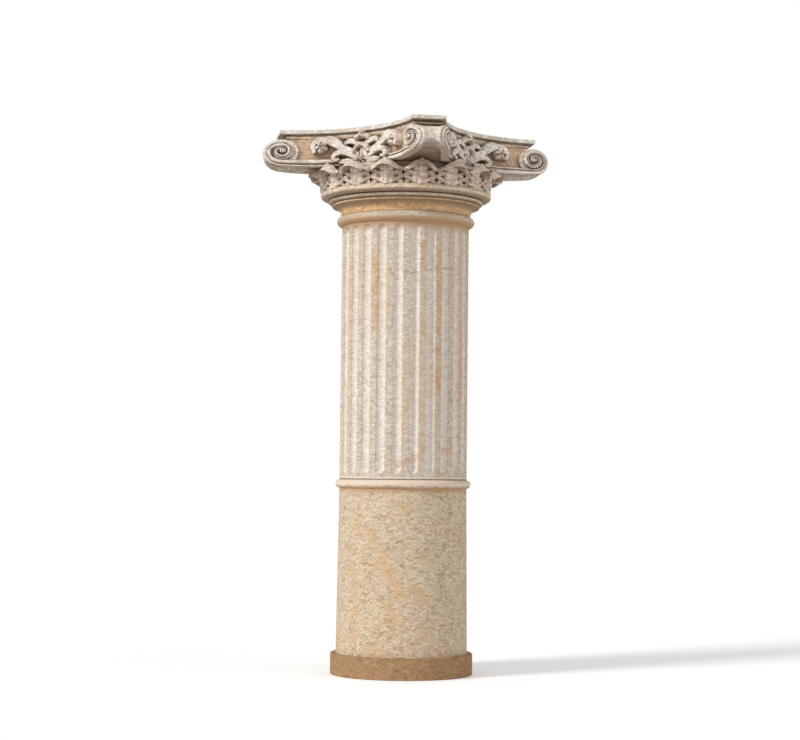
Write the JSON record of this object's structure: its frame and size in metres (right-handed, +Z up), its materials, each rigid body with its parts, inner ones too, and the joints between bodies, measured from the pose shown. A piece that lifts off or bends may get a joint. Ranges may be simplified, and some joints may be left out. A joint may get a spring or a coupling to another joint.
{
  "type": "granite column",
  "caption": "Round fluted stone column on a plain lower drum and foot ring, with a square scrolled capital and a flat abacus on top.",
  "frame": {"origin": "centre of the foot ring's underside, on the ground", "axes": "+Z up along the column's axis; the capital's four faces look along X and Y"},
  "size_m": [1.2104, 1.2104, 2.961],
  "materials": {
    "golden_granite": "honed, golden brown with dark specks",
    "tan_granite": "honed, tan with golden veins and dark specks",
    "pale_granite": "fine tooled, pale cream with rusty clouds",
    "carved_granite": "carved, grey cream relief on sandy ground, dark in the recesses"
  },
  "bodies": {
    "root": {"foot_ring": "golden_granite", "lower_drum": "tan_granite", "fluted_drum": "pale_granite", "capital": "carved_granite"}
  },
  "joints": []
}
